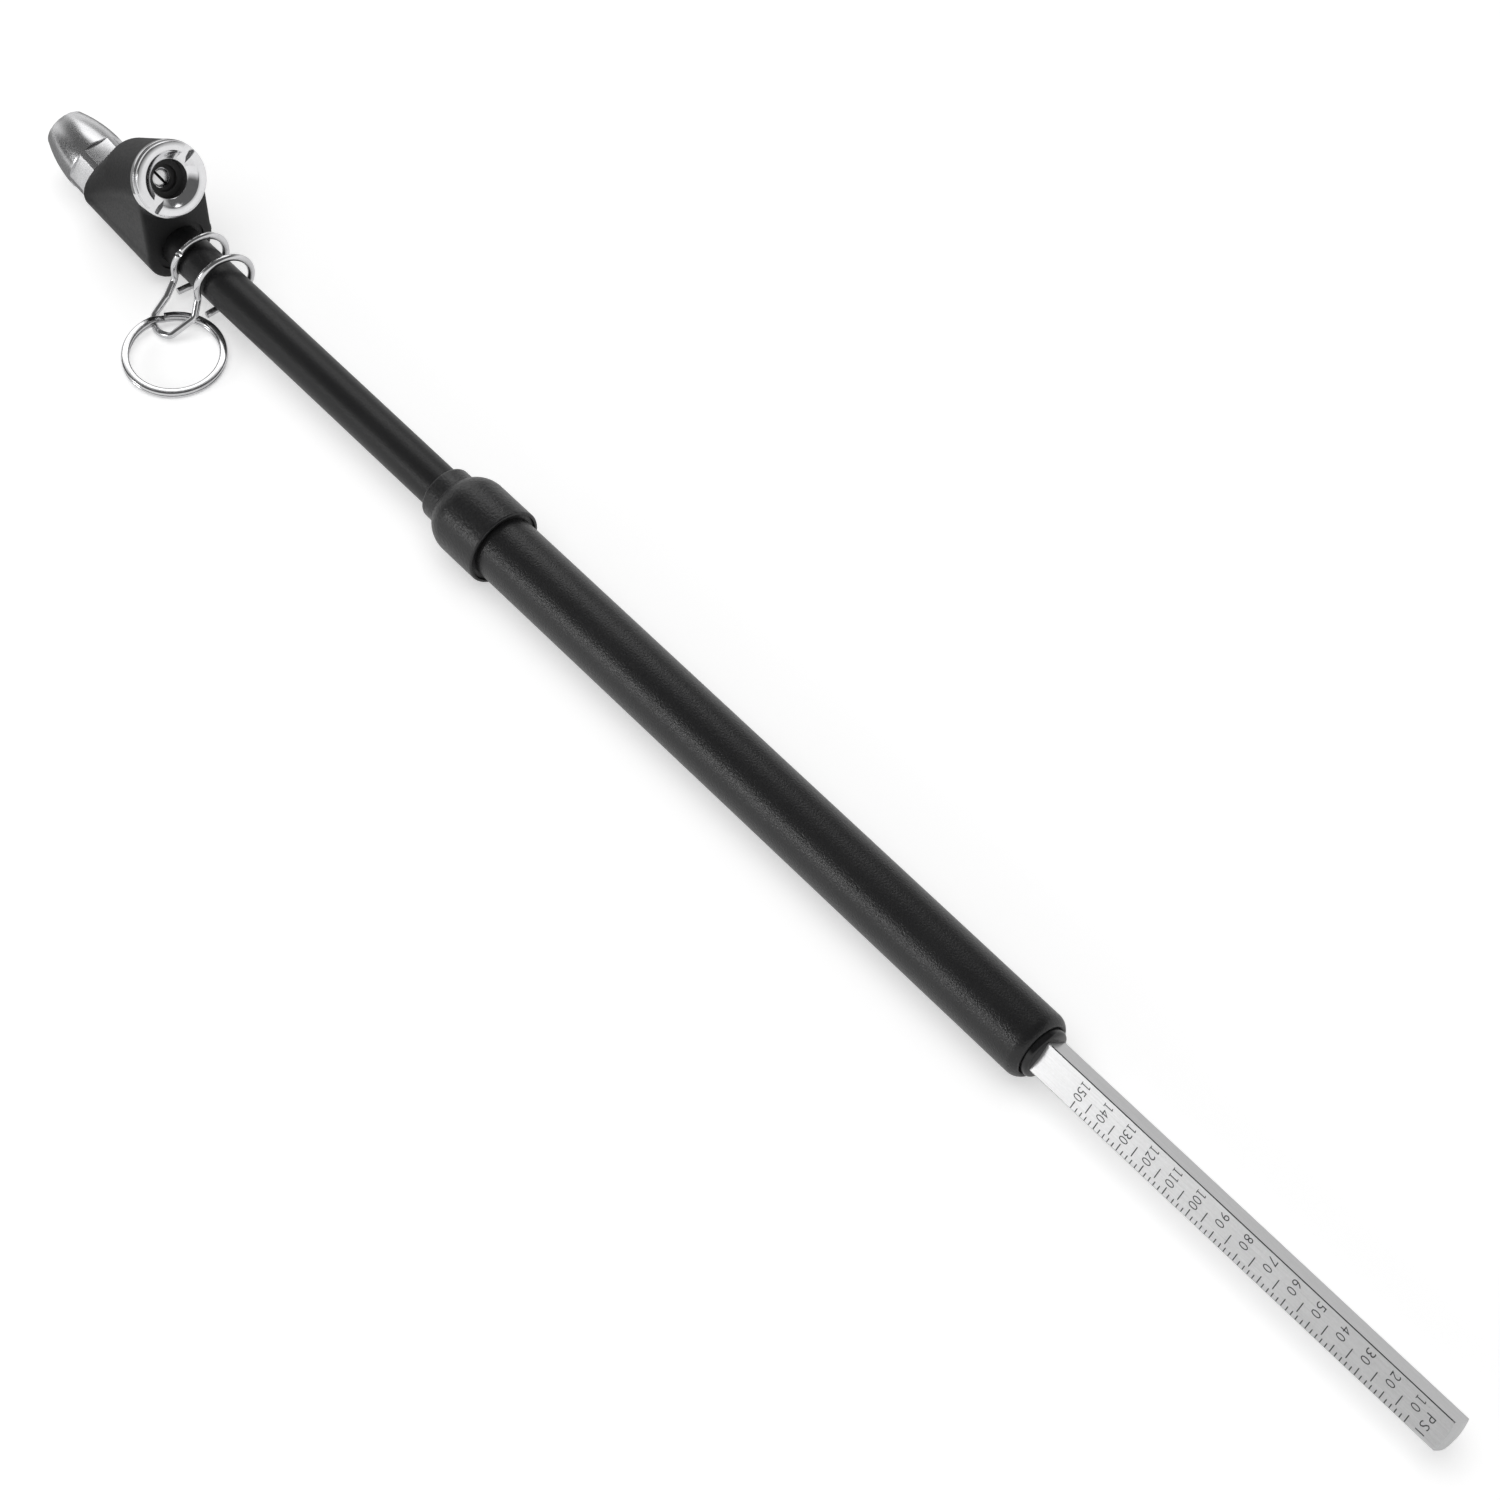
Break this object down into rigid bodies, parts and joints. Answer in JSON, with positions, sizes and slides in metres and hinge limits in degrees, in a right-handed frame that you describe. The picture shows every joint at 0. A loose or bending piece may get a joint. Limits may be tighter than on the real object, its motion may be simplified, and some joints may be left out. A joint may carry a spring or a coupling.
{
  "type": "pencil tire pressure gauge",
  "caption": "Long black pencil tire pressure gauge with a straight and an angled chuck, a sliding square scale bar, a wire stem clip and a key ring.",
  "frame": {"origin": "middle of the exposed barrel, on the common axis of barrel, stem and indicator bar", "axes": "+X along the bar as it slides out, away from the head; +Z the side the angled boss points to; the stem clip and key ring hang toward -Y"},
  "size_m": [0.4223, 0.0372, 0.0367],
  "materials": {
    "black_casting": "satin black paint on die-cast metal",
    "black_tube": "satin black coating",
    "gloss_black": "glossy black plastic",
    "chrome": "bright plated",
    "wire": "bright plated wire",
    "brass": "turned",
    "bar_metal": "fine lengthwise brushing",
    "spring_steel": "drawn wire",
    "rubber": "moulded",
    "piston_plastic": "moulded white plastic"
  },
  "bodies": {
    "gauge_body": {"head_body": "black_casting", "stem_tube": "black_tube", "collar_adapter": "black_casting", "stem_seal": "rubber", "barrel_gasket": "rubber", "barrel_tube": "black_tube", "end_plug": "gloss_black", "wiper_ring": "rubber", "spring_washer": "spring_steel", "straight_chuck": "chrome", "straight_seal": "rubber", "straight_valve_body": "brass", "straight_valve_spring": "spring_steel", "angled_chuck_body": "chrome", "angled_chuck_ring": "chrome", "angled_seal": "rubber", "angled_valve_spring": "spring_steel", "main_spring": "spring_steel"},
    "straight_valve": {"straight_pin": "chrome", "straight_valve_seal": "rubber"},
    "angled_valve": {"angled_pin": "chrome", "angled_valve_seal": "rubber"},
    "indicator": {"indicator_bar": "bar_metal"},
    "piston_group": {"piston": "piston_plastic", "piston_cup": "rubber", "piston_washer": "brass", "piston_screw": "brass"},
    "clip": {"stem_clip": "wire"},
    "ring": {"key_ring": "wire"}
  },
  "joints": [
    {"name": "bar_slide", "type": "slide", "parent": "gauge_body", "child": "indicator", "axis": [1, 0, 0], "range_m": [-0.101, 0]},
    {"name": "piston_slide", "type": "slide", "parent": "gauge_body", "child": "piston_group", "axis": [1, 0, 0], "range_m": [-0.101, 0], "deforming": ["main_spring"]},
    {"name": "straight_valve_slide", "type": "slide", "parent": "gauge_body", "child": "straight_valve", "axis": [0.9848, 0, -0.1736], "range_m": [0, 0.0014], "stiffness_N_per_m": 400, "springref_m": -0.0002, "deforming": ["straight_valve_spring"]},
    {"name": "angled_valve_slide", "type": "slide", "parent": "gauge_body", "child": "angled_valve", "axis": [-0.8387, 0, -0.5446], "range_m": [0, 0.0015], "stiffness_N_per_m": 400, "springref_m": -0.0002, "deforming": ["angled_valve_spring"]},
    {"name": "clip_turn", "type": "hinge", "parent": "gauge_body", "child": "clip", "pos_m": [-0.181, 0, 0], "axis": [1, 0, 0], "range_deg": [-175, 175]},
    {"name": "ring_swing", "type": "hinge", "parent": "clip", "child": "ring", "pos_m": [-0.17914, -0.0074, -0.00661], "axis": [-0.885, -0.461, 0.0651], "range_deg": [0, 50]}
  ],
  "couplings": [
    {"joint": "piston_slide", "follows": "bar_slide", "ratio": 1}
  ]
}
